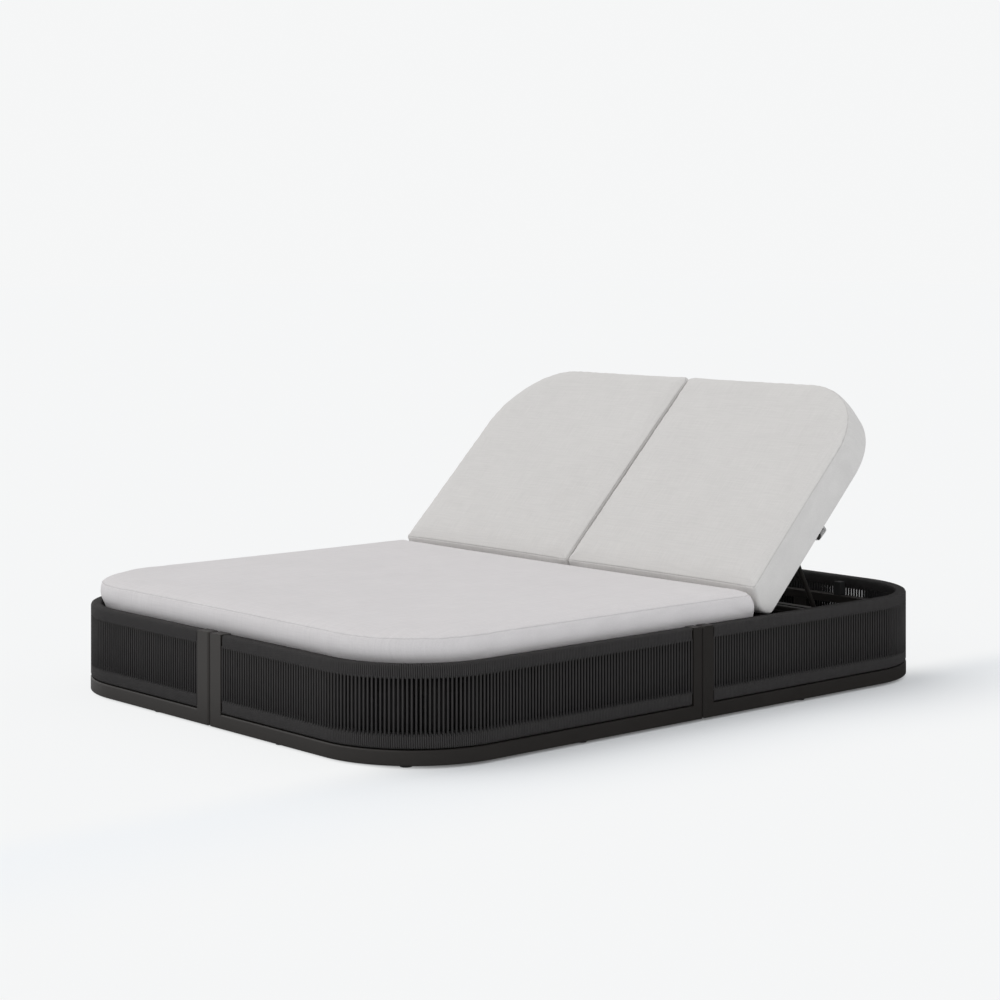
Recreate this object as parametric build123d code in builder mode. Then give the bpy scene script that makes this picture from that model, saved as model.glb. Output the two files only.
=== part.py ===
from build123d import *
from math import cos, floor, pi, radians, sin, sqrt
import os

os.makedirs("parts", exist_ok=True)

# The base: a rounded rectangle on the floor, the head end at +Y, the foot end at -Y.
width = 1600
length = 2100
corner_radius = 295
rim_height = 255
seam_gap = 1
overrun = 1

corner_x = width / 2 - corner_radius
corner_y = length / 2 - corner_radius
seam_half = seam_gap / 2

# Glides and base rails
glide_height = 7
glide_radius = 15
base_rail_height = 38.5
base_tube_wall = 2
base_rail_rounding = 4
base_rail_top = glide_height + base_rail_height

# Cords, and the two rails in each corner module that they are wound on
cord = 5.3
cord_pitch = 10.6
cord_inset = 0.5
panel_gap = 1.5
rail_depth = 22
lower_band = 39
upper_band = 37
band_rounding = 8
rail_rounding = 3
panel_depth = rail_depth + 2 * cord
panel_bottom = base_rail_top + panel_gap
panel_mid_inset = cord_inset + panel_depth / 2
lower_rail_height = lower_band - 2 * cord
upper_rail_height = upper_band - 2 * cord
span_bottom = panel_bottom + lower_band
span_height = rim_height - upper_band - span_bottom

# Posts at the seams
side_post_width = 38
end_post_width = 54
post_wall = 4
post_rounding = 9
post_depth = cord_inset + panel_depth
post_foot_middle = glide_height + base_rail_height / 2

# Ledger, uprights and centre beam under the deck
deck_drop = 30
deck_tube = 25
deck_tube_wall = 2
ledger_clearance = 7.9
deck_top = rim_height - deck_drop
ledger_top = deck_top - deck_tube
ledger_bottom = ledger_top - deck_tube
ledger_inset = post_depth + ledger_clearance
base_rail_depth = ledger_inset + deck_tube
upright_width = 50
side_upright_setback = 205
side_upright_y = corner_y - side_upright_setback
end_upright_setback = 225
end_upright_x = corner_x - end_upright_setback
centre_beam_width = 50
centre_leg_size = 40
centre_leg_inset = 370
centre_leg_y = length / 2 - centre_leg_inset
side_glide_setback = 332
side_glide_y = corner_y - side_glide_setback

# Plates and screws that join the modules at the seams
seam_plate_thickness = 4
seam_plate_height = 70
seam_plate_margin = 6
seam_plate_z = 115
screw_radius = 3
screw_head_radius = 6
screw_head_height = 3
screw_reach = 2
screw_spacing = 40

# Deck panels
slat_width = 45
slat_thickness = 4
slat_gap = 35

# Hinge of each back: the photograph shows the backs at this angle
back_angle = 45
hinge_drop = 25
back_reach = 752.2
hinge_y = length / 2 - back_reach
hinge_z = deck_top - hinge_drop
hinge_rod_radius = 5
running_clearance = 0.05
hinge_eye_radius = 12
hinge_lug_thickness = 8
hinge_side_gap = 0.5
bracket_thickness = 5
bracket_plate_margin = 3
bracket_reach = 41.8
seat_deck_rear = hinge_y - bracket_reach
inner_hinge_x = 80
outer_hinge_inset = 120
outer_hinge_x = width / 2 - outer_hinge_inset
rod_overhang = 14
rod_head_radius = 7.5
rod_head_length = 4

# Back frames, in their own plane: u runs up the back from the hinge, w out of it
back_inner_x = 32
back_side_inset = 78
back_outer_x = width / 2 - back_side_inset
back_bar = 20
back_foot_u = 15
back_top_u = 705
back_top_radius = 217
back_inner_radius = 60
back_foot_radius = 22
back_top_w = hinge_drop
back_under_w = back_top_w - back_bar
back_mid_u = 316
back_slat_width = 45
back_slat_gap = 42
lug_overlap = 1.05

# Crossbar whose end carries the cushion's strap
crossbar_u = 340
crossbar_radius = 10
crossbar_w = 10
crossbar_inner_x = 14
crossbar_end_inset = 52
crossbar_outer_x = width / 2 - crossbar_end_inset
crossbar_rounding = 3

# Prop that holds each back up, and the racks that its foot bar runs along
prop_pivot_w = -12
prop_rest_angle = 61.6
prop_length = 239
prop_arm_radius = 7
prop_eye_radius = 9
prop_eye_margin = 0.5
prop_eye_width = 2 * (prop_arm_radius + prop_eye_margin)
prop_pin_radius = 4
prop_lug_thickness = 4
prop_lug_gap = 0.5
prop_pin_overhang = 2
inner_arm_x = 100
outer_arm_inset = 160
outer_arm_x = width / 2 - outer_arm_inset
prop_foot_radius = 8
prop_foot_overhang = 63
prop_ratio = -2.467
rack_thickness = 5
rack_clearance = 1.5
rack_set_in = 7
notch_radius = 8.5
notch_drop = 3
notch_angles = (0, -10, -20, -30)
well_beam_size = 25
front_beam_reach = 302.2
front_beam_y = hinge_y + front_beam_reach
rear_beam_reach = 562.2
rear_beam_y = hinge_y + rear_beam_reach

# Rubber blocks that the lowered backs rest on
lowest_angle = 3
buffer_size = 24
buffer_gap = 0.5
inner_buffer_x = 130
outer_buffer_inset = 370
outer_buffer_x = width / 2 - outer_buffer_inset

# Cushions
cushion_gap = 0.4
seat_side_inset = 42.5
seat_end_inset = 41.5
seat_corner_radius = 250
seat_rear_radius = 30
seat_rear_clearance = 36.3
seat_rear_y = hinge_y - seat_rear_clearance
seat_thickness = 102.5
side_draw_in = 3
back_draw_in = 0.6
back_cushion_inner_x = 1.5
back_cushion_side_inset = 43
back_cushion_outer_x = width / 2 - back_cushion_side_inset
back_cushion_foot_u = 26.4
back_cushion_top_u = 814
back_cushion_thickness = 114
back_cushion_top_radius = 255
back_cushion_corner_radius = 15

# Each row: height, then how far the outline is set in at the sides and foot, and at the rear,
# all as shares of the thickness
seat_level_shares = (
    (0, 0.10, 0.14),
    (0.13, 0.02, 0.03),
    (0.30, 0, 0),
    (0.42, -0.09, 0),
    (0.56, -0.145, 0.01),
    (0.70, -0.14, 0.07),
    (0.80, -0.10, 0.15),
    (0.86, -0.06, 0.24),
    (0.94, 0.25, 0.50),
    (0.98, 0.85, 1.0),
    (1, 2, 2.2),
)

# Each row: height, then how far the outline is set in at the sides, at the foot and at the top
back_level_shares = (
    (0, 0.03, 0.20, 0.05),
    (0.03, 0.01, 0.14, 0.02),
    (0.09, 0, 0.08, 0),
    (0.25, 0, 0.02, 0),
    (0.40, 0, 0, 0),
    (0.56, 0, 0.09, 0),
    (0.73, 0.002, 0.17, 0.015),
    (0.90, 0.01, 0.235, 0.055),
    (0.955, 0.2, 0.38, 0.25),
    (0.985, 0.6, 0.7, 0.6),
    (1, 1.4, 1.5, 1.4),
)

# Strap loop round the crossbar's end
strap_width = 20
strap_thickness = 1.5
strap_slack = 0.3
strap_tab = 12
strap_inset = 5
strap_bend_reach = 31
strap_bend_w = 1.5
strap_bend_radius = 6.5


def side_section(y):
    """Plane across the side of the base at y: x runs inward from the outer face, y runs up."""
    return Plane(origin=(width / 2, y, 0), x_dir=(-1, 0, 0), z_dir=(0, 1, 0))


def end_section(x):
    """Plane across the end of the base at x: x runs inward from the outer face, y runs up."""
    return Plane(origin=(x, length / 2, 0), x_dir=(0, -1, 0), z_dir=(-1, 0, 0))


def along_rim(draw, side_start, end_stop):
    """Run a section along the side, round the corner and along the end of one module."""
    with BuildSketch(side_section(side_start)) as side_start_section:
        draw()
    extrude(side_start_section.sketch, amount=corner_y - side_start)
    with BuildSketch(side_section(corner_y)) as corner_section:
        draw()
    corner_axis = Axis((corner_x, corner_y, 0), (0, 0, 1))
    revolve(corner_section.sketch, axis=corner_axis, revolution_arc=90)
    with BuildSketch(end_section(corner_x)) as end_start_section:
        draw()
    extrude(end_start_section.sketch, amount=corner_x - end_stop)


def hollow_section(inset, bottom, depth, height, rounding, wall):
    """Draw a rectangular tube's section."""
    with Locations((inset + depth / 2, bottom + height / 2)):
        RectangleRounded(depth, height, rounding)
        Rectangle(depth - 2 * wall, height - 2 * wall, mode=Mode.SUBTRACT)


def write(solid, name):
    """Label a finished piece and write it."""
    solid.label = name
    export_step(solid, f"parts/{name}.step")


def write_corners(solid, name):
    """Write the right head module's piece and its mirror images."""
    left = mirror(solid, about=Plane.YZ)
    write(solid, f"{name}_head_right")
    write(left, f"{name}_head_left")
    write(mirror(solid, about=Plane.XZ), f"{name}_foot_right")
    write(mirror(left, about=Plane.XZ), f"{name}_foot_left")


def write_sides(solid, name):
    """Write the right side's piece and its mirror image."""
    write(solid, f"{name}_right")
    write(mirror(solid, about=Plane.YZ), f"{name}_left")


# Base rail
with BuildPart() as base_rail:
    along_rim(
        lambda: hollow_section(
            0, glide_height, base_rail_depth, base_rail_height, base_rail_rounding, base_tube_wall
        ),
        side_post_width,
        end_post_width,
    )
write_corners(base_rail.part, "base_rail")

# Seam posts: hollow tubes on a foot as deep as the base rail, rounded at the seam
def seam_post(post_width):
    """Build a post at the origin: x runs inward from its outer face, y runs away from the seam."""
    middle_y = (seam_half + post_width) / 2
    middle_z = (glide_height + rim_height) / 2
    run = post_width - seam_half
    with BuildPart() as post:
        with BuildSketch(Plane.XZ.offset(-post_width)):
            with Locations((base_rail_depth / 2, post_foot_middle)):
                RectangleRounded(base_rail_depth, base_rail_height, base_rail_rounding)
            with Locations((post_depth / 2, (post_foot_middle + rim_height) / 2)):
                Rectangle(post_depth, rim_height - post_foot_middle)
        extrude(amount=run)
        with BuildSketch(Plane.YZ) as elevation:
            with Locations((middle_y, middle_z)):
                Rectangle(run, rim_height - glide_height)
            fillet(elevation.vertices().sort_by(Axis.X)[:2], post_rounding)
        extrude(amount=base_rail_depth, mode=Mode.INTERSECT)
        with BuildSketch(Plane.XY.offset(glide_height)) as plan:
            with Locations((base_rail_depth / 2, middle_y)):
                Rectangle(base_rail_depth, run)
            fillet(plan.vertices().sort_by(Axis.X)[:2].sort_by(Axis.Y)[0], post_rounding)
        extrude(amount=rim_height - glide_height, mode=Mode.INTERSECT)
        with Locations((post_depth / 2, middle_y, middle_z)):
            hollow_height = rim_height - glide_height - 2 * post_wall
            Box(
                post_depth - 2 * post_wall,
                run - 2 * post_wall,
                hollow_height,
                mode=Mode.SUBTRACT,
            )
        with Locations((base_rail_depth / 2, middle_y + post_wall / 2, post_foot_middle)):
            Box(
                base_rail_depth - 2 * post_wall,
                run - post_wall,
                base_rail_height - 2 * post_wall,
                mode=Mode.SUBTRACT,
            )
        for z in screw_z:
            with Locations((post_depth - post_wall / 2, post_width / 2, z)):
                Cylinder(screw_radius, post_wall, rotation=(0, 90, 0), mode=Mode.SUBTRACT)
    return post.part


screw_z = (seam_plate_z - screw_spacing / 2, seam_plate_z + screw_spacing / 2)
side_post = mirror(seam_post(side_post_width), about=Plane.YZ)
end_post = seam_post(end_post_width)
with BuildPart() as seam_posts:
    with Locations((width / 2, 0, 0)):
        add(side_post)
    with Locations((0, length / 2, 0)):
        add(end_post, rotation=(0, 0, -90))
write_corners(seam_posts.part, "seam_posts")

# Cord rail, low in each module
with BuildPart() as cord_rail:
    along_rim(
        lambda: hollow_section(
            cord_inset + cord,
            panel_bottom + cord,
            rail_depth,
            lower_rail_height,
            rail_rounding,
            base_tube_wall,
        ),
        side_post_width,
        end_post_width,
    )
write_corners(cord_rail.part, "cord_rail")

# Top rail, inside the rim
with BuildPart() as top_rail:
    along_rim(
        lambda: hollow_section(
            cord_inset + cord,
            rim_height - upper_band + cord,
            rail_depth,
            upper_rail_height,
            rail_rounding,
            base_tube_wall,
        ),
        side_post_width,
        end_post_width,
    )
write_corners(top_rail.part, "top_rail")


# Cord panel: dense bands round both rails, and single upright spans between them
def panel_section():
    """Draw the winding's section: two bands and the walls that join them outside and inside."""
    band_places = (
        (panel_bottom + lower_band / 2, lower_band, lower_rail_height),
        (rim_height - upper_band / 2, upper_band, upper_rail_height),
    )
    for middle, band, rail in band_places:
        with Locations((panel_mid_inset, middle)):
            RectangleRounded(panel_depth, band, band_rounding)
    for wall_inset in (cord_inset + cord / 2, cord_inset + panel_depth - cord / 2):
        with Locations((wall_inset, span_bottom + span_height / 2)):
            Rectangle(cord, span_height + lower_band)
    for middle, band, rail in band_places:
        with Locations((panel_mid_inset, middle)):
            RectangleRounded(rail_depth, rail, rail_rounding, mode=Mode.SUBTRACT)


span_radius = corner_radius - cord_inset - cord / 2
side_run = corner_y - side_post_width
end_run = corner_x - end_post_width
side_gaps = floor(side_run / cord_pitch)
corner_gaps = floor(span_radius * pi / 2 / cord_pitch)
end_gaps = floor(end_run / cord_pitch)
gap_width = cord_pitch - cord
gap_depth = panel_depth + 2 * overrun
gap_radius = corner_radius - panel_mid_inset
gap_x = width / 2 - panel_mid_inset
gap_y = length / 2 - panel_mid_inset

with BuildPart() as cord_panel:
    along_rim(panel_section, side_post_width, end_post_width)
    with BuildSketch(Plane.XY.offset(span_bottom)):
        with Locations((gap_x, side_post_width + side_run / 2)):
            with GridLocations(cord_pitch, cord_pitch, 1, side_gaps):
                Rectangle(gap_depth, gap_width)
        with Locations((end_post_width + end_run / 2, gap_y)):
            with GridLocations(cord_pitch, cord_pitch, end_gaps, 1):
                Rectangle(gap_width, gap_depth)
        with Locations((corner_x, corner_y)):
            with PolarLocations(gap_radius, corner_gaps, 45 / corner_gaps, 90):
                Rectangle(gap_depth, gap_width)
    extrude(amount=span_height, mode=Mode.SUBTRACT)
write_corners(cord_panel.part, "cord_panel")

# Ledger that carries the deck
with BuildPart() as ledger:
    along_rim(
        lambda: hollow_section(
            ledger_inset, ledger_bottom, deck_tube, deck_tube, base_tube_wall, deck_tube_wall
        ),
        seam_half,
        centre_beam_width / 2,
    )
write_corners(ledger.part, "ledger")

# Uprights from the base rail to the ledger, one on each straight and one in the corner
upright_inset = ledger_inset + deck_tube / 2
upright_radius = corner_radius - upright_inset
inner_wall = 2 * deck_tube_wall
with BuildPart() as uprights:
    with BuildSketch(Plane.XY.offset(base_rail_top)):
        with Locations((width / 2 - upright_inset, side_upright_y)):
            Rectangle(deck_tube, upright_width)
            Rectangle(deck_tube - inner_wall, upright_width - inner_wall, mode=Mode.SUBTRACT)
        with Locations((end_upright_x, length / 2 - upright_inset)):
            Rectangle(upright_width, deck_tube)
            Rectangle(upright_width - inner_wall, deck_tube - inner_wall, mode=Mode.SUBTRACT)
        with Locations((corner_x, corner_y)):
            with PolarLocations(upright_radius, 1, 45):
                Rectangle(deck_tube, deck_tube)
                Rectangle(deck_tube - inner_wall, deck_tube - inner_wall, mode=Mode.SUBTRACT)
    extrude(amount=ledger_bottom - base_rail_top)
write_corners(uprights.part, "uprights")

# Centre beam from post to post along the middle
with BuildPart() as centre_beam:
    with BuildSketch(Plane.XZ):
        with Locations((0, ledger_bottom + deck_tube / 2)):
            Rectangle(centre_beam_width, deck_tube)
            Rectangle(centre_beam_width - inner_wall, deck_tube - inner_wall, mode=Mode.SUBTRACT)
    extrude(amount=length / 2 - post_depth, both=True)
write(centre_beam.part, "centre_beam")

# Centre legs under the beam
with BuildPart() as centre_legs:
    with BuildSketch(Plane.XY.offset(glide_height)):
        with GridLocations(centre_leg_y, centre_leg_y, 1, 3):
            Rectangle(centre_leg_size, centre_leg_size)
            leg_bore = centre_leg_size - inner_wall
            Rectangle(leg_bore, leg_bore, mode=Mode.SUBTRACT)
    extrude(amount=ledger_bottom - glide_height)
write(centre_legs.part, "centre_legs")

# Beams across the well under the backs
with BuildPart() as well_beams:
    for beam_y in (front_beam_y, rear_beam_y):
        past_corner = max(0, beam_y - corner_y)
        beam_end = corner_x + sqrt(upright_radius**2 - past_corner**2)
        with BuildSketch(Plane.YZ):
            with Locations((beam_y, ledger_bottom - well_beam_size / 2)):
                Rectangle(well_beam_size, well_beam_size)
                beam_bore = well_beam_size - inner_wall
                Rectangle(beam_bore, beam_bore, mode=Mode.SUBTRACT)
        extrude(amount=beam_end, both=True)
write(well_beams.part, "well_beams")

# Glides: three under each module and one under each centre leg
corner_glide_radius = corner_radius - base_rail_depth / 2
corner_glide_x = corner_x + corner_glide_radius * sqrt(0.5)
corner_glide_y = corner_y + corner_glide_radius * sqrt(0.5)
glide_rail_inset = base_rail_depth / 2
glide_places = []
for side in (-1, 1):
    for end in (-1, 1):
        glide_places.append((side * (width / 2 - glide_rail_inset), end * side_glide_y))
        glide_places.append((side * end_upright_x, end * (length / 2 - glide_rail_inset)))
        glide_places.append((side * corner_glide_x, end * corner_glide_y))
with BuildPart() as glides:
    with BuildSketch():
        with Locations(*glide_places):
            Circle(glide_radius)
        with GridLocations(centre_leg_y, centre_leg_y, 1, 3):
            Circle(centre_leg_size / 2)
    extrude(amount=glide_height)
write(glides.part, "glides")

# Plates that bridge the seams behind the posts, with their screws
side_plate_width = 2 * (side_post_width - seam_plate_margin)
end_plate_width = 2 * (end_post_width - seam_plate_margin)
side_plate_x = width / 2 - post_depth - seam_plate_thickness / 2
end_plate_y = length / 2 - post_depth - seam_plate_thickness / 2
with BuildPart() as seam_plates:
    for side in (-1, 1):
        with Locations((side * side_plate_x, 0, seam_plate_z)):
            Box(seam_plate_thickness, side_plate_width, seam_plate_height)
        with Locations((0, side * end_plate_y, seam_plate_z)):
            Box(end_plate_width, seam_plate_thickness, seam_plate_height)
        for half in (-1, 1):
            for z in screw_z:
                with Locations((side * side_plate_x, half * side_post_width / 2, z)):
                    Cylinder(
                        screw_radius, seam_plate_thickness, rotation=(0, 90, 0), mode=Mode.SUBTRACT
                    )
                with Locations((half * end_post_width / 2, side * end_plate_y, z)):
                    Cylinder(
                        screw_radius, seam_plate_thickness, rotation=(90, 0, 0), mode=Mode.SUBTRACT
                    )
write(seam_plates.part, "seam_plates")

screw_shank = seam_plate_thickness + post_wall + screw_reach
plate_face = post_depth + seam_plate_thickness
with BuildPart() as seam_screws:
    for side in (-1, 1):
        for half in (-1, 1):
            for z in screw_z:
                face_x = side * (width / 2 - plate_face)
                with Locations((face_x + side * screw_shank / 2, half * side_post_width / 2, z)):
                    Cylinder(screw_radius, screw_shank, rotation=(0, 90, 0))
                with Locations((face_x - side * screw_head_height / 2, half * side_post_width / 2, z)):
                    Cylinder(screw_head_radius, screw_head_height, rotation=(0, 90, 0))
                face_y = side * (length / 2 - plate_face)
                with Locations((half * end_post_width / 2, face_y + side * screw_shank / 2, z)):
                    Cylinder(screw_radius, screw_shank, rotation=(90, 0, 0))
                with Locations((half * end_post_width / 2, face_y - side * screw_head_height / 2, z)):
                    Cylinder(screw_head_radius, screw_head_height, rotation=(90, 0, 0))
write(seam_screws.part, "seam_screws")


# Deck panels: a channel frame, open below, with flat slats across it
def deck_outline(set_in, end, rounded):
    """Draw a deck panel's outline, set in by a distance from its edge."""
    left = seam_half + set_in
    right = width / 2 - ledger_inset - set_in
    top = end - set_in
    bottom = seam_half + set_in
    with BuildSketch(mode=Mode.PRIVATE) as outline:
        with Locations(((left + right) / 2, (bottom + top) / 2)):
            Rectangle(right - left, top - bottom)
        if rounded:
            corner = outline.vertices().sort_by(Axis.X)[-2:].sort_by(Axis.Y)[-1]
            fillet(corner, corner_radius - ledger_inset - set_in)
    return outline.sketch


def deck_panel(end, rounded):
    """Build a deck panel that runs from the middle seam to its end."""
    with BuildPart() as deck:
        with BuildSketch(Plane.XY.offset(ledger_top)):
            add(deck_outline(0, end, rounded))
            add(deck_outline(deck_tube, end, rounded), mode=Mode.SUBTRACT)
        extrude(amount=deck_tube)
        with BuildSketch(Plane.XY.offset(ledger_top)):
            add(deck_outline(deck_tube_wall, end, rounded))
            add(deck_outline(deck_tube - deck_tube_wall, end, rounded), mode=Mode.SUBTRACT)
        extrude(amount=deck_tube - deck_tube_wall, mode=Mode.SUBTRACT)
        inner_length = end - seam_half - 2 * deck_tube
        slats = max(1, floor((inner_length - slat_gap) / (slat_width + slat_gap)))
        slat_step = (inner_length + slat_width) / (slats + 1)
        with BuildSketch(Plane.XY.offset(deck_top - slat_thickness)):
            with Locations((width / 4, (end + seam_half) / 2)):
                with GridLocations(slat_step, slat_step, 1, slats):
                    Rectangle(width, slat_width)
            add(deck_outline(deck_tube - deck_tube_wall, end, rounded), mode=Mode.INTERSECT)
        extrude(amount=slat_thickness)
    return deck.part


write_sides(mirror(deck_panel(length / 2 - ledger_inset, True), about=Plane.XZ), "deck_foot")
write_sides(deck_panel(seat_deck_rear, False), "deck_head")

# Hinge brackets on the back edge of the deck, one at each end of each rod
ear_offset = hinge_lug_thickness / 2 + hinge_side_gap + bracket_thickness / 2
bracket_width = 2 * ear_offset + bracket_thickness
plate_bottom = ledger_top + bracket_plate_margin
plate_height = deck_tube - 2 * bracket_plate_margin
hole_radius = hinge_rod_radius + running_clearance
with BuildPart() as hinge_brackets:
    for hinge_x in (-outer_hinge_x, -inner_hinge_x, inner_hinge_x, outer_hinge_x):
        with Locations((hinge_x, seat_deck_rear + bracket_thickness / 2, plate_bottom + plate_height / 2)):
            Box(bracket_width, bracket_thickness, plate_height)
        for ear_x in (hinge_x - ear_offset, hinge_x + ear_offset):
            with BuildSketch(Plane.YZ.offset(ear_x)):
                with Locations((hinge_y, hinge_z)):
                    Circle(hinge_eye_radius)
                with Locations((seat_deck_rear + bracket_thickness / 2, plate_bottom + plate_height / 2)):
                    Rectangle(bracket_thickness, plate_height)
                make_hull()
                with Locations((hinge_y, hinge_z)):
                    Circle(hole_radius, mode=Mode.SUBTRACT)
            extrude(amount=bracket_thickness / 2, both=True)
write(hinge_brackets.part, "hinge_brackets")

# Rod that each back turns on, headed at both ends
rod_start = inner_hinge_x - bracket_width / 2 - rod_overhang
rod_end = outer_hinge_x + bracket_width / 2 + rod_overhang
with BuildPart() as hinge_rod:
    with BuildSketch(Plane.YZ.offset(rod_start)):
        with Locations((hinge_y, hinge_z)):
            Circle(hinge_rod_radius)
    extrude(amount=rod_end - rod_start)
    for head_x in (rod_start, rod_end - rod_head_length):
        with BuildSketch(Plane.YZ.offset(head_x)):
            with Locations((hinge_y, hinge_z)):
                Circle(rod_head_radius)
        extrude(amount=rod_head_length)
write_sides(hinge_rod.part, "hinge_rod")

# The back's own planes at the photographed angle
lean = radians(back_angle)
up_back = (0, cos(lean), sin(lean))
out_of_back = (0, -sin(lean), cos(lean))


def back_plane(w):
    """Plane over the back at height w: x runs to the right, y runs up the back."""
    origin = (0, hinge_y + w * out_of_back[1], hinge_z + w * out_of_back[2])
    return Plane(origin=origin, x_dir=(1, 0, 0), z_dir=out_of_back)


def back_section(x):
    """Plane across the back at x: x runs up the back, y out of it."""
    return Plane(origin=(x, hinge_y, hinge_z), x_dir=up_back, z_dir=(1, 0, 0))


def back_outline(set_in):
    """Draw the back frame's outline, set in by a distance from its edge."""
    left = back_inner_x + set_in
    right = back_outer_x - set_in
    bottom = back_foot_u + set_in
    top = back_top_u - set_in
    with BuildSketch(mode=Mode.PRIVATE) as outline:
        with Locations(((left + right) / 2, (bottom + top) / 2)):
            Rectangle(right - left, top - bottom)
        upper = outline.vertices().sort_by(Axis.Y)[-2:].sort_by(Axis.X)
        fillet(upper[-1], back_top_radius - set_in)
        upper_left = outline.vertices().sort_by(Axis.Y)[-2:].sort_by(Axis.X)[0]
        fillet(upper_left, back_inner_radius - set_in)
        fillet(outline.vertices().sort_by(Axis.Y)[:2], back_foot_radius - set_in)
    return outline.sketch


# Back frame: a welded loop with slats, hinge lugs below and lugs for the prop behind
back_inner_length = back_top_u - back_foot_u - 2 * back_bar
back_slats = floor((back_inner_length - back_slat_gap) / (back_slat_width + back_slat_gap))
back_slat_step = (back_inner_length + back_slat_width) / (back_slats + 1)
prop_lug_offset = prop_eye_width / 2 + prop_lug_gap + prop_lug_thickness / 2
with BuildPart() as back_frame:
    with BuildSketch(back_plane(back_under_w)):
        add(back_outline(0))
        add(back_outline(back_bar), mode=Mode.SUBTRACT)
        with Locations(((back_inner_x + back_outer_x) / 2, back_mid_u)):
            Rectangle(back_outer_x - back_inner_x - 2 * overrun, back_bar)
    extrude(amount=back_bar)
    with BuildSketch(back_plane(back_top_w - slat_thickness)):
        with Locations(((back_inner_x + back_outer_x) / 2, (back_foot_u + back_top_u) / 2)):
            with GridLocations(back_slat_step, back_slat_step, 1, back_slats):
                Rectangle(back_outer_x - back_inner_x, back_slat_width)
        add(back_outline(overrun), mode=Mode.INTERSECT)
    extrude(amount=slat_thickness)
    for hinge_x in (inner_hinge_x, outer_hinge_x):
        with BuildSketch(back_section(hinge_x)):
            Circle(hinge_eye_radius)
            with Locations((back_foot_u + back_bar / 2, back_under_w + lug_overlap / 2)):
                Rectangle(back_bar, lug_overlap)
            make_hull()
            Circle(hole_radius, mode=Mode.SUBTRACT)
        extrude(amount=hinge_lug_thickness / 2, both=True)
    for arm_x in (inner_arm_x, outer_arm_x):
        for lug_x in (arm_x - prop_lug_offset, arm_x + prop_lug_offset):
            with BuildSketch(back_section(lug_x)):
                with Locations((back_mid_u, prop_pivot_w)):
                    Circle(prop_eye_radius)
                with Locations((back_mid_u, back_under_w + lug_overlap / 2)):
                    Rectangle(back_bar, lug_overlap)
                make_hull()
                with Locations((back_mid_u, prop_pivot_w)):
                    Circle(prop_pin_radius, mode=Mode.SUBTRACT)
            extrude(amount=prop_lug_thickness / 2, both=True)
    with BuildSketch(back_section(0)):
        with Locations((crossbar_u, crossbar_w)):
            Circle(crossbar_radius)
    extrude(amount=width / 2, mode=Mode.SUBTRACT)
write_sides(back_frame.part, "back_frame")

# Crossbar through the frame, rounded at its ends
with BuildPart() as crossbar:
    with BuildSketch(back_section(crossbar_inner_x)):
        with Locations((crossbar_u, crossbar_w)):
            Circle(crossbar_radius)
    extrude(amount=crossbar_outer_x - crossbar_inner_x)
    fillet(crossbar.edges().filter_by(GeomType.CIRCLE), crossbar_rounding)
write_sides(crossbar.part, "crossbar")

# Pins in the prop lugs
pin_half = prop_lug_offset + prop_lug_thickness / 2 + prop_pin_overhang
with BuildPart() as prop_pins:
    for arm_x in (inner_arm_x, outer_arm_x):
        with BuildSketch(back_section(arm_x)):
            with Locations((back_mid_u, prop_pivot_w)):
                Circle(prop_pin_radius)
        extrude(amount=pin_half, both=True)
write_sides(prop_pins.part, "prop_pins")


# Prop: its foot follows the back by a constant ratio
def from_hinge(u, w, lift=0):
    """Give the y and z of a place on the back when the back is lifted by some degrees."""
    angle = radians(back_angle + lift)
    return (
        hinge_y + u * cos(angle) - w * sin(angle),
        hinge_z + u * sin(angle) + w * cos(angle),
    )


def prop_foot_place(lift):
    """Give the y and z of the foot bar when the back is lifted by some degrees."""
    pivot_y, pivot_z = from_hinge(back_mid_u, prop_pivot_w, lift)
    angle = radians(lift * (1 + prop_ratio) - prop_rest_angle)
    return pivot_y + prop_length * cos(angle), pivot_z + prop_length * sin(angle)


pivot_y, pivot_z = from_hinge(back_mid_u, prop_pivot_w)
foot_y, foot_z = prop_foot_place(0)
arm_direction = (0, foot_y - pivot_y, foot_z - pivot_z)
with BuildPart() as prop_arms:
    for arm_x in (inner_arm_x, outer_arm_x):
        with BuildSketch(Plane(origin=(arm_x, pivot_y, pivot_z), z_dir=arm_direction)):
            Circle(prop_arm_radius)
        extrude(amount=prop_length)
        with BuildSketch(Plane.YZ.offset(arm_x)):
            with Locations((pivot_y, pivot_z)):
                Circle(prop_eye_radius)
        extrude(amount=prop_eye_width / 2, both=True)
    with BuildSketch(Plane.YZ):
        with Locations((pivot_y, pivot_z)):
            Circle(prop_pin_radius + running_clearance)
        with Locations((foot_y, foot_z)):
            Circle(prop_foot_radius)
    extrude(amount=width / 2, mode=Mode.SUBTRACT)
write_sides(prop_arms.part, "prop_arms")

foot_start = inner_arm_x - prop_foot_overhang
foot_end = outer_arm_x + prop_foot_overhang
with BuildPart() as prop_foot:
    with BuildSketch(Plane.YZ.offset(foot_start)):
        with Locations((foot_y, foot_z)):
            Circle(prop_foot_radius)
    extrude(amount=foot_end - foot_start)
    fillet(prop_foot.edges().filter_by(GeomType.CIRCLE), crossbar_rounding)
write_sides(prop_foot.part, "prop_foot")

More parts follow.
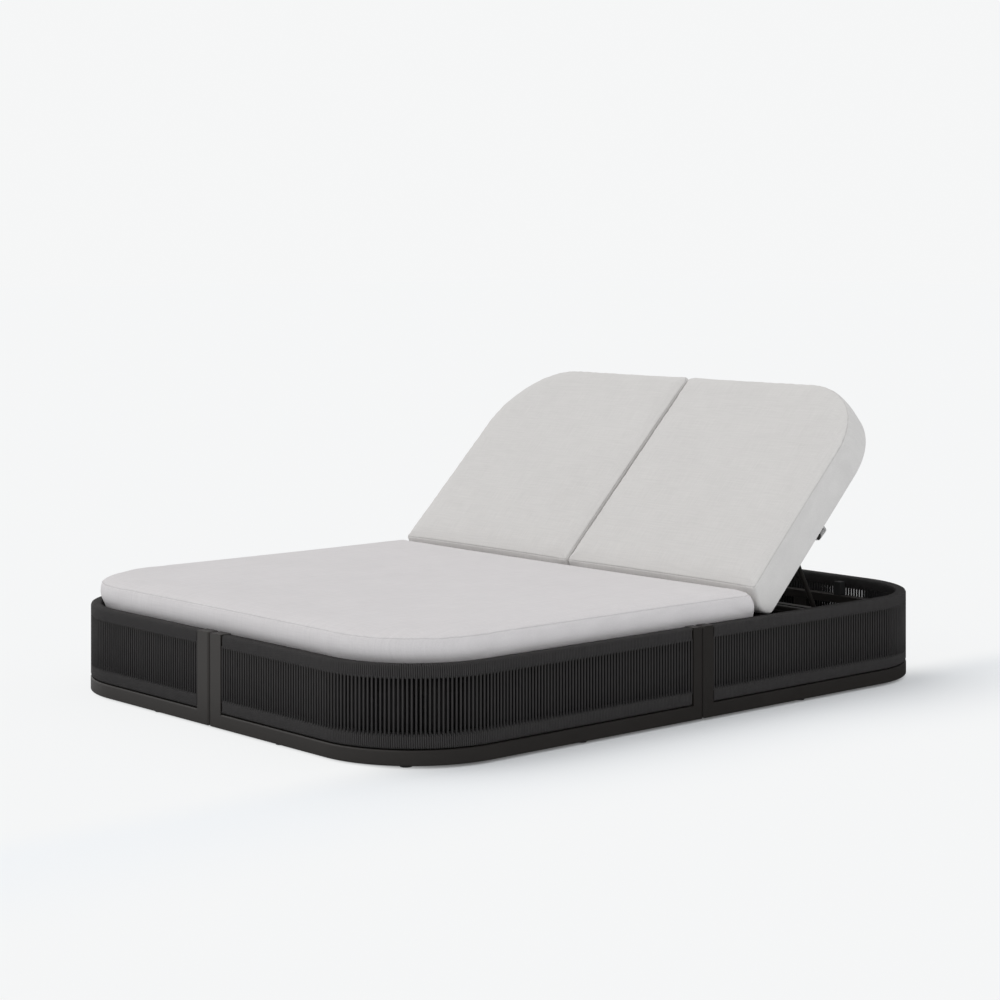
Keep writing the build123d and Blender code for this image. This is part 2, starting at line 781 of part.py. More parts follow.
# Racks: notched plates on the well beams, hollowed to the foot bar's path
rack_drop = prop_foot_radius + rack_clearance
rack_front_y = front_beam_y - well_beam_size / 2
rack_rear_y = rear_beam_y + well_beam_size / 2
inner_rack_x = foot_start + rack_set_in
outer_rack_x = foot_end - rack_set_in
edge_points = [prop_foot_place(notch_angles[place]) for place in (0, 1, -1)]
edge_points = [(y, z - rack_drop) for y, z in edge_points]
with BuildPart() as prop_racks:
    for rack_x in (-outer_rack_x, -inner_rack_x, inner_rack_x, outer_rack_x):
        with BuildSketch(Plane.YZ.offset(rack_x)):
            with BuildLine():
                rack_edge = ThreePointArc(*edge_points)
                Polyline(
                    edge_points[-1],
                    (rack_rear_y, edge_points[-1][1]),
                    (rack_rear_y, ledger_bottom),
                    (rack_front_y, ledger_bottom),
                    (rack_front_y, edge_points[0][1]),
                    edge_points[0],
                )
            make_face()
            for angle in notch_angles:
                notch_y, notch_z = prop_foot_place(angle)
                with Locations((notch_y, notch_z - notch_drop)):
                    Circle(notch_radius, mode=Mode.SUBTRACT)
        extrude(amount=rack_thickness / 2, both=True)
write(prop_racks.part, "prop_racks")

# Rest buffers on the head ledgers, under the backs' top bars when they are down
buffer_y = length / 2 - ledger_inset - deck_tube / 2
low_angle = radians(lowest_angle)
buffer_front = buffer_y - buffer_size / 2
buffer_top = (
    hinge_z
    + (buffer_front - hinge_y) * sin(low_angle) / cos(low_angle)
    + back_under_w / cos(low_angle)
    - buffer_gap
)
with BuildPart() as rest_buffers:
    with BuildSketch(Plane.XY.offset(ledger_top)):
        for buffer_x in (-outer_buffer_x, -inner_buffer_x, inner_buffer_x, outer_buffer_x):
            with Locations((buffer_x, buffer_y)):
                Rectangle(buffer_size, buffer_size)
    extrude(amount=buffer_top - ledger_top)
write(rest_buffers.part, "rest_buffers")


# Cushions: closed forms lofted through level outlines
def cushion_outline(left, right, bottom, top, draw_in, radii):
    """Draw an outline whose sides pull in between its corners: radii run from bottom left round."""
    corners = ((left, bottom), (right, bottom), (right, top), (left, top))
    middle_x = (left + right) / 2
    middle_y = (bottom + top) / 2
    side_middles = (
        (middle_x, bottom + draw_in),
        (right - draw_in, middle_y),
        (middle_x, top - draw_in),
        (left + draw_in, middle_y),
    )
    with BuildSketch(mode=Mode.PRIVATE) as outline:
        with BuildLine():
            for place in range(4):
                ThreePointArc(corners[place], side_middles[place], corners[(place + 1) % 4])
        make_face()
        for corner, radius in zip(corners, radii):
            fillet(outline.vertices().sort_by_distance((*corner, 0))[0], radius)
    return outline.sketch


seat_left = seat_side_inset - width / 2
seat_foot = seat_end_inset - length / 2
with BuildPart() as seat_cushion:
    for height_share, side_share, rear_share in seat_level_shares:
        edge = side_share * seat_thickness
        rear_edge = rear_share * seat_thickness
        level = deck_top + cushion_gap + height_share * seat_thickness
        foot_radius = max(seat_corner_radius - edge, seat_rear_radius)
        with BuildSketch(Plane.XY.offset(level)):
            add(
                cushion_outline(
                    seat_left + edge,
                    -seat_left - edge,
                    seat_foot + edge,
                    seat_rear_y - rear_edge,
                    side_draw_in,
                    (foot_radius, foot_radius, seat_rear_radius, seat_rear_radius),
                )
            )
    loft(ruled=True)
write(seat_cushion.part, "seat_cushion")

back_cushion_w = back_top_w + cushion_gap
with BuildPart() as back_cushion:
    for height_share, side_share, foot_share, top_share in back_level_shares:
        side_edge = side_share * back_cushion_thickness
        small_radius = back_cushion_corner_radius
        with BuildSketch(back_plane(back_cushion_w + height_share * back_cushion_thickness)):
            add(
                cushion_outline(
                    back_cushion_inner_x + side_edge,
                    back_cushion_outer_x - side_edge,
                    back_cushion_foot_u + foot_share * back_cushion_thickness,
                    back_cushion_top_u - top_share * back_cushion_thickness,
                    back_draw_in,
                    (small_radius, small_radius, back_cushion_top_radius - side_edge, small_radius),
                )
            )
    loft(ruled=True)
write_sides(back_cushion.part, "back_cushion")

# Strap: a fabric loop that hangs slack round the crossbar's end, with tabs flat against the cushion
strap_inner = crossbar_radius + strap_slack
strap_outer = strap_inner + strap_thickness
tab_bottom = back_top_w - strap_thickness
bend_u = crossbar_u + strap_bend_reach
loop_start = crossbar_u - strap_outer
loop_end = bend_u + strap_bend_radius


def strap_loop(set_in, top):
    """Draw the loop's outline, set in by a distance from its outer face, up to a height."""
    with BuildSketch(mode=Mode.PRIVATE) as loop:
        with Locations((crossbar_u, crossbar_w)):
            Circle(strap_outer - set_in)
        with Locations((bend_u, strap_bend_w)):
            Circle(strap_bend_radius - set_in)
        with Locations(((loop_start + loop_end) / 2, top - strap_thickness / 2)):
            Rectangle(loop_end - loop_start - 2 * set_in, strap_thickness)
        make_hull()
    return loop.sketch


with BuildPart() as cushion_strap:
    with BuildSketch(back_section(crossbar_outer_x - strap_inset - strap_width)):
        add(strap_loop(0, back_top_w))
        with Locations(((loop_start + loop_end) / 2, (tab_bottom + back_top_w) / 2)):
            Rectangle(loop_end - loop_start + 2 * strap_tab, strap_thickness)
        add(strap_loop(strap_thickness, tab_bottom), mode=Mode.SUBTRACT)
    extrude(amount=strap_width)
write_sides(cushion_strap.part, "cushion_strap")
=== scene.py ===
from math import cos, exp, pi, radians, sin

import bpy
import numpy as np
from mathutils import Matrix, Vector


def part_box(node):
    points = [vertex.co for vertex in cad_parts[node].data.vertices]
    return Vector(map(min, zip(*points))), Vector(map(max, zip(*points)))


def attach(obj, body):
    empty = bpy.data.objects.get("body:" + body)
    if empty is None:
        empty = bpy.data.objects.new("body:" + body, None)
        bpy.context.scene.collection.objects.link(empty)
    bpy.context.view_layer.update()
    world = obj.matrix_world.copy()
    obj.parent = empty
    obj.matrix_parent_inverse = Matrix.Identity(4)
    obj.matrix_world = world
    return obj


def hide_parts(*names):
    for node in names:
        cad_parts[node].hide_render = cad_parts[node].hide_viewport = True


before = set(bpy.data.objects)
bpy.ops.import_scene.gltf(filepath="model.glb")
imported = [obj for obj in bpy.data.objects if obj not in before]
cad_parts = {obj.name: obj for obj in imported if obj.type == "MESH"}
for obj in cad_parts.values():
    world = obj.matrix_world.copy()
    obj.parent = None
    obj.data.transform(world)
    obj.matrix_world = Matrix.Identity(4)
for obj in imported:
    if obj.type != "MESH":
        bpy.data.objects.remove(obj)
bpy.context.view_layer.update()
scene = bpy.context.scene
millimetre = 0.001


# Camera
# The lounger is seen from the right of its foot end, from just above sitting height, by a long
# lens that is held level, so that upright edges stay upright.
camera_data = bpy.data.cameras.new("studio_camera")
camera_data.lens = 83.70
camera_data.sensor_width = 36
camera_data.shift_y = -0.2533
camera = bpy.data.objects.new("studio_camera", camera_data)
camera.location = (5.113608, -4.544654, 1.274307)
camera.rotation_euler = (radians(90), 0, radians(48.5115))
scene.collection.objects.link(camera)
scene.camera = camera


# Base rails
# Rectangular aluminium tube, bent at the corners, that lies under each corner module. It has a
# dark bronze powder coat, paler along the edges: partly wear and partly a painted highlight.
bronze = (0.0265, 0.0232, 0.0208)
coat_grain = 700
coat_grain_depth = 0.05 * millimetre
coat_edge = 1.5 * millimetre


def add_node(tree, kind, inputs, **settings):
    """Add a node. Each input gets its value, or a link from another node's output."""
    node = tree.nodes.new(kind)
    for setting, value in settings.items():
        setattr(node, setting, value)
    for place, value in inputs.items():
        if isinstance(value, bpy.types.NodeSocket):
            tree.links.new(value, node.inputs[place])
        else:
            node.inputs[place].default_value = value
    return node


def add_math(tree, operation, first, second=0.0):
    """Add a sum of one or two values and give its result."""
    return add_node(tree, "ShaderNodeMath", {0: first, 1: second}, operation=operation).outputs[0]


def start_finish(name):
    """Make an empty material and give it with its node tree, shader and the piece's own places."""
    material = bpy.data.materials.new(name)
    material.use_nodes = True
    tree = material.node_tree
    shader = tree.nodes["Principled BSDF"]
    places = add_node(tree, "ShaderNodeTexCoord", {})
    return material, tree, shader, places


def blend_colours(tree, share, first, second, how="MIX"):
    """Mix two colours by a share. Each is a colour, or another node's output."""
    inputs = {"Factor": share}
    for place, colour in ((6, first), (7, second)):
        inputs[place] = colour if isinstance(colour, bpy.types.NodeSocket) else (*colour, 1)
    mixer = add_node(tree, "ShaderNodeMix", inputs, data_type="RGBA", blend_type=how)
    return mixer.outputs[2]


def spread(tree, value, source, result, **settings):
    """Turn values from a source range into a result range, and stop at its ends."""
    names = ("Value", "From Min", "From Max", "To Min", "To Max")
    inputs = dict(zip(names, (value, *source, *result)))
    return add_node(tree, "ShaderNodeMapRange", inputs, **settings).outputs[0]


def add_bump(tree, shader, height, strength, depth):
    """Raise a finish by a height."""
    inputs = {"Height": height, "Strength": strength, "Distance": depth}
    bump = add_node(tree, "ShaderNodeBump", inputs)
    tree.links.new(bump.outputs[0], shader.inputs["Normal"])


def worn_and_highlit_edges(tree, radius):
    """Give a value that rises towards 1 on the sharp edges of a piece, for wear and a painted
    highlight.
    """
    rounded = add_node(tree, "ShaderNodeBevel", {"Radius": radius}, samples=4)
    flat = add_node(tree, "ShaderNodeNewGeometry", {})
    facing = add_node(
        tree,
        "ShaderNodeVectorMath",
        {0: rounded.outputs[0], 1: flat.outputs["True Normal"]},
        operation="DOT_PRODUCT",
    )
    turned = add_math(tree, "SUBTRACT", 1, facing.outputs["Value"])
    return add_math(tree, "MINIMUM", add_math(tree, "MULTIPLY", turned, 6), 1)


def powder_coat():
    """Bronze powder coat: fine orange peel, faint clouds, and edges paled by wear and a painted
    highlight.
    """
    material, tree, shader, places = start_finish("bronze_powder_coat")
    clouds = add_node(
        tree, "ShaderNodeTexNoise", {"Vector": places.outputs["Object"], "Scale": 9, "Detail": 3}
    )
    grain = add_node(
        tree,
        "ShaderNodeTexNoise",
        {"Vector": places.outputs["Object"], "Scale": coat_grain, "Detail": 2},
    )
    darker = tuple(0.9 * part for part in bronze)
    paler = tuple(1.1 * part for part in bronze)
    worn_highlight_colour = tuple(1.9 * part for part in bronze)
    cloudy = blend_colours(tree, clouds.outputs[0], darker, paler)
    # Paler edges: partly wear, partly a painted highlight.
    edge = add_math(tree, "MULTIPLY", worn_and_highlit_edges(tree, coat_edge), 0.5)
    tree.links.new(blend_colours(tree, edge, cloudy, worn_highlight_colour), shader.inputs["Base Color"])
    rough = spread(tree, grain.outputs[0], (0, 1), (0.4, 0.56))
    tree.links.new(rough, shader.inputs["Roughness"])
    add_bump(tree, shader, grain.outputs[0], 0.5, coat_grain_depth)
    shader.inputs["Metallic"].default_value = 0.15
    shader.inputs["Specular IOR Level"].default_value = 0.4
    return material


def give_finish(material, *names):
    """Give one finish to every frame piece whose name starts with one of these."""
    for name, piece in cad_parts.items():
        if name.startswith(names):
            piece.data.materials.clear()
            piece.data.materials.append(material)
            for polygon in piece.data.polygons:
                polygon.material_index = 0


bronze_coat = powder_coat()
give_finish(bronze_coat, "base_rail")


# Glides
# Round pads of hard black nylon, pushed into the base rails and the centre legs. They keep the
# coated tube off the ground, and their faces are scuffed dull.
def moulded(name, colour, roughness, grain, depth):
    """Moulded plastic or rubber: an even colour with fine grain and faint scuffs."""
    material, tree, shader, places = start_finish(name)
    fine = add_node(
        tree, "ShaderNodeTexNoise", {"Vector": places.outputs["Object"], "Scale": grain}
    )
    scuffs = add_node(
        tree,
        "ShaderNodeTexNoise",
        {"Vector": places.outputs["Object"], "Scale": 60, "Detail": 5, "Distortion": 1.5},
    )
    pale = tuple(1.8 * part for part in colour)
    mixed = blend_colours(tree, add_math(tree, "POWER", scuffs.outputs[0], 3), colour, pale)
    tree.links.new(mixed, shader.inputs["Base Color"])
    rough = spread(tree, scuffs.outputs[0], (0, 1), (roughness - 0.1, roughness + 0.1))
    tree.links.new(rough, shader.inputs["Roughness"])
    add_bump(tree, shader, fine.outputs[0], 0.4, depth)
    return material


black_nylon = moulded("black_nylon", (0.018, 0.018, 0.019), 0.5, 900, 0.04 * millimetre)
give_finish(black_nylon, "glides")


# Seam posts, rails, ledgers, uprights and deck
# The rest of the base is welded from the same coated tube: posts at the seams, rails that the
# cords are wound on, ledgers and beams under the deck, and the slatted deck itself.
give_finish(
    bronze_coat,
    "seam_posts",
    "cord_rail",
    "top_rail",
    "ledger",
    "uprights",
    "centre_beam",
    "centre_legs",
    "well_beams",
    "seam_plates",
    "deck_",
)


# Seam screws
# Stainless screws that clamp the plates behind the posts. Their heads are turned, with a fine
# circular brushing.
brushing_depth = 0.02 * millimetre


def bright_steel():
    """Stainless steel with a fine brushing and faint clouds."""
    material, tree, shader, places = start_finish("stainless_steel")
    stretch = add_node(
        tree, "ShaderNodeMapping", {"Vector": places.outputs["Object"], "Scale": (60, 1500, 1500)}
    )
    brushing = add_node(
        tree, "ShaderNodeTexNoise", {"Vector": stretch.outputs[0], "Scale": 1, "Detail": 3}
    )
    mixed = blend_colours(tree, brushing.outputs[0], (0.42, 0.42, 0.41), (0.6, 0.6, 0.59))
    tree.links.new(mixed, shader.inputs["Base Color"])
    rough = spread(tree, brushing.outputs[0], (0, 1), (0.25, 0.42))
    tree.links.new(rough, shader.inputs["Roughness"])
    add_bump(tree, shader, brushing.outputs[0], 0.3, brushing_depth)
    shader.inputs["Metallic"].default_value = 1
    return material


steel = bright_steel()
give_finish(steel, "seam_screws")


# Cord winding
# Charcoal braided cord, wound tight round the lower and the upper rail of each module. Every
# second turn runs on round both rails as open spans between the bands, outside and inside.
cord_width = 5.3 * millimetre
cord_turn_sides = 6
span_sides = 8
inner_span_sides = 6
inner_span_swell = 1.55
cord_inset = 0.5 * millimetre
rail_depth = 22 * millimetre
corner_radius = 295 * millimetre
side_post_width = 38 * millimetre
end_post_width = 54 * millimetre
winding_inset = cord_inset + cord_width + rail_depth / 2
turn_rounding = 4.5 * millimetre
braid_length = 4.2 * millimetre
braid_depth = 0.25 * millimetre
strand_lean = 3
turn_drift = 0.1 * millimetre
turn_unevenness = 0.05 * millimetre
span_slack = 0.06 * millimetre
span_lap = 1.5 * cord_width
half_width, half_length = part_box("base_rail_head_right")[1][:2]
winding_low, winding_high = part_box("cord_panel_head_right")
lower_band = 39 * millimetre
upper_band = 37 * millimetre
bands = (
    (winding_low[2], winding_low[2] + lower_band),
    (winding_high[2] - upper_band, winding_high[2]),
)
corner_x = half_width - corner_radius
corner_y = half_length - corner_radius


def along_module(distance):
    """Give the place and the outward direction at a distance along the wound part of a module."""
    bend = corner_radius - winding_inset
    side_run = corner_y - side_post_width
    arc_run = bend * pi / 2
    if distance < side_run:
        place = (half_width - winding_inset, side_post_width + distance)
        outward = (1, 0)
    elif distance < side_run + arc_run:
        turn = (distance - side_run) / bend
        place = (corner_x + bend * cos(turn), corner_y + bend * sin(turn))
        outward = (cos(turn), sin(turn))
    else:
        place = (corner_x - (distance - side_run - arc_run), half_length - winding_inset)
        outward = (0, 1)
    return np.array(place), np.array(outward)


def turn_points(depth, height, rounding):
    """Give the points of one turn round a rail: outward and up, three to each corner."""
    points = []
    corners = ((1, 1, 0), (-1, 1, 90), (-1, -1, 180), (1, -1, 270))
    for outward, up, start in corners:
        centre = (outward * (depth / 2 - rounding), up * (height / 2 - rounding))
        for step in (0, 45, 90):
            angle = radians(start + step)
            points.append((centre[0] + rounding * cos(angle), centre[1] + rounding * sin(angle)))
    return points


def tube_along(points, sides, radius, braid_start):
    """Give the vertices, faces and braid places of a round tube along some points. Its first ring
    is turned by a slant that no cord runs along."""
    points = np.array(points)
    slant = np.array([0.55, 0.35, 0.65])
    ahead = np.gradient(points, axis=0)
    ahead /= np.linalg.norm(ahead, axis=1)[:, None]
    lengths = np.concatenate([[0], np.cumsum(np.linalg.norm(np.diff(points, axis=0), axis=1))])
    frame_side = np.cross(ahead[0], slant)
    rings = []
    for place, direction in zip(points, ahead):
        frame_side = frame_side - direction * frame_side.dot(direction)
        frame_side = frame_side / np.linalg.norm(frame_side)
        across = np.cross(direction, frame_side)
        angles = np.arange(sides) * 2 * pi / sides
        ring = np.outer(np.cos(angles), frame_side) + np.outer(np.sin(angles), across)
        rings.append(place + radius * ring)
    faces = []
    places = []
    for row in range(len(points) - 1):
        start = (braid_start + lengths[row]) / braid_length
        stop = (braid_start + lengths[row + 1]) / braid_length
        for column in range(sides):
            after = (column + 1) % sides
            low = row * sides
            high = low + sides
            faces.append((low + column, low + after, high + after, high + column))
            left = column / sides
            right = (column + 1) / sides
            places.append(((start, left), (start, right), (stop, right), (stop, left)))
    last = (len(points) - 1) * sides
    faces.append(tuple(range(sides))[::-1])
    places.append(((0, 0),) * sides)
    faces.append(tuple(last + column for column in range(sides)))
    places.append(((0, 0),) * sides)
    return np.concatenate(rings), faces, places


def wind_module(name, side, end, seed):
    """Wind one module: both bands and the open spans, in one mesh."""
    random = np.random.default_rng(seed)
    bend = corner_radius - winding_inset
    run = corner_y - side_post_width + bend * pi / 2 + corner_x - end_post_width
    turns = int(run / cord_width)
    pitch = run / turns
    half_cord = cord_width / 2
    tubes = []
    inside = []
    for low, high in bands:
        turn = turn_points(rail_depth + cord_width, high - low - cord_width, turn_rounding)
        middle = (low + high) / 2
        points = []
        for number in range(turns):
            drift = random.normal(0, turn_drift)
            for step, (outward, up) in enumerate(turn):
                distance = half_cord + (number + step / len(turn)) * (run - cord_width) / turns
                place, direction = along_module(distance + drift)
                proud = outward + random.normal(0, turn_unevenness)
                points.append((*(place + direction * proud), middle + up))
        tubes.append(tube_along(points, cord_turn_sides, half_cord, 0))
        inside.append(False)
    span_low = bands[0][1] - span_lap
    span_high = bands[1][0] + span_lap
    for number in range(1, turns, 2):
        for outward in ((rail_depth + cord_width) / 2, -(rail_depth + cord_width) / 2):
            slack = random.normal(0, span_slack)
            points = []
            for share in (0, 0.5, 1):
                place, direction = along_module(number * pitch + slack * sin(share * pi))
                height = span_low + share * (span_high - span_low)
                points.append((*(place + direction * outward), height))
            sides = span_sides if outward > 0 else inner_span_sides
            radius = half_cord if outward > 0 else half_cord * inner_span_swell
            tubes.append(tube_along(points, sides, radius, random.uniform(0, braid_length)))
            inside.append(outward < 0)
    vertices = []
    faces = []
    places = []
    finishes = []
    count = 0
    for (tube_vertices, tube_faces, tube_places), is_inside in zip(tubes, inside):
        vertices.append(tube_vertices)
        # Inner spans take the second finish: the same cord, darkened as painted shade.
        finishes.extend([int(is_inside)] * len(tube_faces))
        faces.extend(tuple(count + corner for corner in face) for face in tube_faces)
        places.extend(tube_places)
        count += len(tube_vertices)
    vertices = np.concatenate(vertices) * np.array([side, end, 1])
    if side * end < 0:
        faces = [face[::-1] for face in faces]
        places = [place[::-1] for place in places]
    mesh = bpy.data.meshes.new(name)
    mesh.from_pydata(vertices.tolist(), [], faces)
    braid = mesh.uv_layers.new(name="braid")
    braid.data.foreach_set("uv", np.array([corner for face in places for corner in face]).ravel())
    mesh.polygons.foreach_set("material_index", finishes)
    mesh.shade_smooth()
    piece = bpy.data.objects.new(name, mesh)
    scene.collection.objects.link(piece)
    return piece


def braided_cord(name, dark, pale):
    """Charcoal braided cord: crossing strands, matt, slight changes of tone and painted shade in
    the hollows.
    """
    material, tree, shader, places = start_finish(name)
    braid = add_node(tree, "ShaderNodeUVMap", {}, uv_map="braid")
    parts = add_node(tree, "ShaderNodeSeparateXYZ", {0: braid.outputs[0]})
    strands = []
    for lean in (strand_lean, -strand_lean):
        around = add_math(tree, "MULTIPLY", parts.outputs[1], lean)
        turn = add_math(tree, "MULTIPLY", add_math(tree, "ADD", parts.outputs[0], around), 2 * pi)
        strands.append(add_math(tree, "SINE", turn))
    height = add_math(tree, "MAXIMUM", *strands)
    clouds = add_node(
        tree, "ShaderNodeTexNoise", {"Vector": places.outputs["Object"], "Scale": 40, "Detail": 4}
    )
    tone = blend_colours(tree, clouds.outputs[0], dark, pale)
    # Painted shade: the hollows between the strands are darkened.
    hollow_shade = spread(tree, height, (-0.2, 1), (0.55, 1))
    shaded = blend_colours(tree, 1, tone, hollow_shade, how="MULTIPLY")
    tree.links.new(shaded, shader.inputs["Base Color"])
    add_bump(tree, shader, height, 0.5, braid_depth)
    shader.inputs["Roughness"].default_value = 0.72
    shader.inputs["Specular IOR Level"].default_value = 0.15
    return material


cord_finish = braided_cord("charcoal_cord", (0.049, 0.0463, 0.0463), (0.064, 0.0607, 0.0602))
# A darker copy of the cord for the inner spans, as painted shade.
shaded_inner_cord_finish = braided_cord("charcoal_cord_painted_shade", (0.016, 0.0155, 0.0155), (0.021, 0.02, 0.02))
modules = (("head_right", 1, 1), ("head_left", -1, 1), ("foot_right", 1, -1), ("foot_left", -1, -1))
for seed, (module, side, end) in enumerate(modules):
    winding = wind_module(f"cord_winding_{module}", side, end, seed)
    winding.data.materials.append(cord_finish)
    winding.data.materials.append(shaded_inner_cord_finish)
    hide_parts(f"cord_panel_{module}")
    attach(winding, "base")


# Back frames, hinges and props
# Each back is a welded, slatted frame that turns on a steel rod in two brackets. A prop of round
# bar hangs from pins behind it and stands in notched racks, and rubber blocks catch it when low.
give_finish(bronze_coat, "back_frame", "crossbar", "hinge_brackets")
give_finish(bronze_coat, "prop_arms", "prop_foot", "prop_racks")
give_finish(steel, "hinge_rod", "prop_pins")
black_rubber = moulded("black_rubber", (0.02, 0.02, 0.02), 0.75, 500, 0.08 * millimetre)
give_finish(black_rubber, "rest_buffers")


# Seat cushion
# One wide foam cushion in a pale woven outdoor cloth: a flat base, a boxing strip and a crowned
# top, sewn with a plain seam whose allowances are turned inside. Its rear end is rounded over.
seat_low, seat_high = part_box("seat_cushion")
seat_thickness = seat_high[2] - seat_low[2]
seat_corner = 250 * millimetre
seat_rear_corner = 30 * millimetre
seat_draw_in = 3 * millimetre
seat_crown = 0.075 * seat_thickness
seat_bulge = 0.145 * seat_thickness
seat_swell = 3.5 * millimetre
seat_colour = (0.664, 0.638, 0.64)
cover_step = 22 * millimetre
cover_pressure = 2.5
base_levels = 3
base_hold = 1
side_hold = 0.2
seam_hold = 0.6
top_hold = 0.06
least_corner = 8 * millimetre
roll_share = 0.65
roll_reach = 18 * millimetre
crown_reach = 90 * millimetre
settling_rounds = 400
cloth_frames = 20
seam_pinch = 2.6 * millimetre
gather_lengths = (29 * millimetre, 41 * millimetre, 67 * millimetre, 190 * millimetre)
gather_depth = 0.35 * millimetre
gather_reach = 14 * millimetre
gather_slant = (1.7, 1.3)
# Painted shade along the seams: how far it reaches, how much of it, and how dark.
seam_shade_reach = 1.6 * millimetre
seam_shade_share = 0.35
seam_shade_tone = 0.35
thread_pair = 1.7 * millimetre
thread_depth = 0.25 * millimetre
slub_run = 14
slub_width = 320


def outline_loop(box, radii, corner_steps, side_steps, draw_in):
    """Give the points round an outline: left, right, foot and head, from the foot left corner."""
    left, right, foot, head = box
    centres = []
    corners = ((left, foot, 1, 1), (right, foot, -1, 1), (right, head, -1, -1), (left, head, 1, -1))
    for (x, y, inward_x, inward_y), radius in zip(corners, radii):
        centres.append(np.array([x + inward_x * radius, y + inward_y * radius]))
    points = []
    for number in range(4):
        after = (number + 1) % 4
        leaving = radians(270 + 90 * number)
        for step in range(corner_steps[number]):
            angle = leaving - (1 - step / corner_steps[number]) * pi / 4
            points.append(centres[number] + radii[number] * np.array([cos(angle), sin(angle)]))
        outward = np.array([cos(leaving), sin(leaving)])
        start = centres[number] + radii[number] * outward
        stop = centres[after] + radii[after] * outward
        steps = side_steps[number % 2] - corner_steps[number] - corner_steps[after]
        for step in range(steps):
            share = step / steps
            points.append(start + share * (stop - start) - outward * draw_in * sin(pi * share))
        for step in range(corner_steps[after]):
            angle = leaving + step / corner_steps[after] * pi / 4
            points.append(centres[after] + radii[after] * np.array([cos(angle), sin(angle)]))
    return np.array(points)


def grid_inside(loop, columns, rows):
    """Fill a loop with a grid: the edge points stay, and the inner ones settle between them."""
    foot = loop[: columns + 1]
    right = loop[columns : columns + rows + 1]
    head = loop[columns + rows : 2 * columns + rows + 1][::-1]
    left = np.concatenate([loop[2 * columns + rows :], loop[:1]])[::-1]
    across = np.linspace(0, 1, columns + 1)[:, None, None]
    along = np.linspace(0, 1, rows + 1)[None, :, None]
    grid = (
        (1 - along) * foot[:, None] + along * head[:, None]
        + (1 - across) * left[None] + across * right[None]
        - (1 - across) * ((1 - along) * foot[0] + along * head[0])
        - across * ((1 - along) * foot[-1] + along * head[-1])
    )
    for _ in range(settling_rounds):
        grid[1:-1, 1:-1] = (
            grid[:-2, 1:-1] + grid[2:, 1:-1] + grid[1:-1, :-2] + grid[1:-1, 2:]
        ) / 4
    return grid


def crown_share(distance):
    """Give how much of the crown's rise there is at a distance from the seam: most of it close
    by, where the cover rolls over, and the rest slowly."""
    roll = roll_share * exp(-distance / roll_reach)
    return 1 - roll - (1 - roll_share) * exp(-distance / crown_reach)


def cushion_cover(name, box, radii, corner_steps, side_steps, draw_in, levels, crown):
    """Make a closed cover: a base, the boxing's levels and a crowned top. Each level has its
    height and how far it is set in at the sides, the foot and the head."""
    columns, rows = side_steps
    loops = []
    for height, side_in, foot_in, head_in in levels:
        left, right, foot, head = box
        set_in = (left + side_in, right - side_in, foot + foot_in, head - head_in)
        level_radii = [max(radius - side_in, least_corner) for radius in radii]
        loop = outline_loop(set_in, level_radii, corner_steps, side_steps, draw_in)
        loops.append(np.column_stack([loop, np.full(len(loop), height)]))
    around = len(loops[0])
    vertices = list(np.concatenate(loops))
    faces = []
    for level in range(len(loops) - 1):
        for place in range(around):
            after = (place + 1) % around
            low = level * around
            high = low + around
            faces.append((low + place, low + after, high + after, high + place))
    edge_places = [(i, 0) for i in range(columns)]
    edge_places += [(columns, j) for j in range(rows)]
    edge_places += [(columns - i, rows) for i in range(columns)]
    edge_places += [(0, rows - j) for j in range(rows)]
    for level, upward in ((0, False), (len(loops) - 1, True)):
        loop = loops[level][:, :2]
        grid = grid_inside(loop, columns, rows)
        numbers = {place: level * around + number for number, place in enumerate(edge_places)}
        for i in range(1, columns):
            for j in range(1, rows):
                numbers[(i, j)] = len(vertices)
                distance = np.min(np.linalg.norm(loop - grid[i, j], axis=1))
                rise = crown * crown_share(distance) if upward else 0
                vertices.append(np.array([*grid[i, j], levels[level][0] + rise]))
        for i in range(columns):
            for j in range(rows):
                face = [numbers[(i, j)], numbers[(i + 1, j)]]
                face += [numbers[(i + 1, j + 1)], numbers[(i, j + 1)]]
                faces.append(tuple(face if upward else face[::-1]))
    mesh = bpy.data.meshes.new(name)
    mesh.from_pydata([tuple(vertex) for vertex in vertices], [], faces)
    mesh.shade_smooth()
    piece = bpy.data.objects.new(name, mesh)
    scene.collection.objects.link(piece)
    return piece, around


def places_of(piece):
    """Read a piece's vertices."""
    places = np.zeros(3 * len(piece.data.vertices))
    piece.data.vertices.foreach_get("co", places)
    return places.reshape(-1, 3)


def set_places(piece, places):
    """Write a piece's vertices."""
    piece.data.vertices.foreach_set("co", places.ravel())
    piece.data.update()


def fill_cover(piece, held, pressure, furthest):
    """Blow a cover up as cloth round its filling. No point moves further than a set distance."""
    before = places_of(piece)
    group = piece.vertex_groups.new(name="held")
    for number, share in enumerate(held):
        group.add([number], float(share), "REPLACE")
    cloth = piece.modifiers.new("cover", "CLOTH")
    settings = cloth.settings
    settings.quality = 6
    settings.mass = 0.3
    settings.tension_stiffness = 25
    settings.compression_stiffness = 10
    settings.shear_stiffness = 8
    settings.bending_stiffness = 1.5
    settings.air_damping = 4
    settings.use_pressure = True
    settings.uniform_pressure_force = pressure
    settings.vertex_group_mass = "held"
    settings.effector_weights.gravity = 0
    for number in range(1, cloth_frames + 1):
        scene.frame_set(number)
    evaluated = piece.evaluated_get(bpy.context.evaluated_depsgraph_get())
    after = np.zeros(3 * len(before))
    evaluated.data.vertices.foreach_get("co", after)
    move = after.reshape(-1, 3) - before
    piece.modifiers.remove(cloth)
    piece.vertex_groups.clear()
    scene.frame_set(1)
    size = np.linalg.norm(move, axis=1)[:, None]
    set_places(piece, before + move * np.minimum(1, furthest / np.maximum(size, 1e-9)))


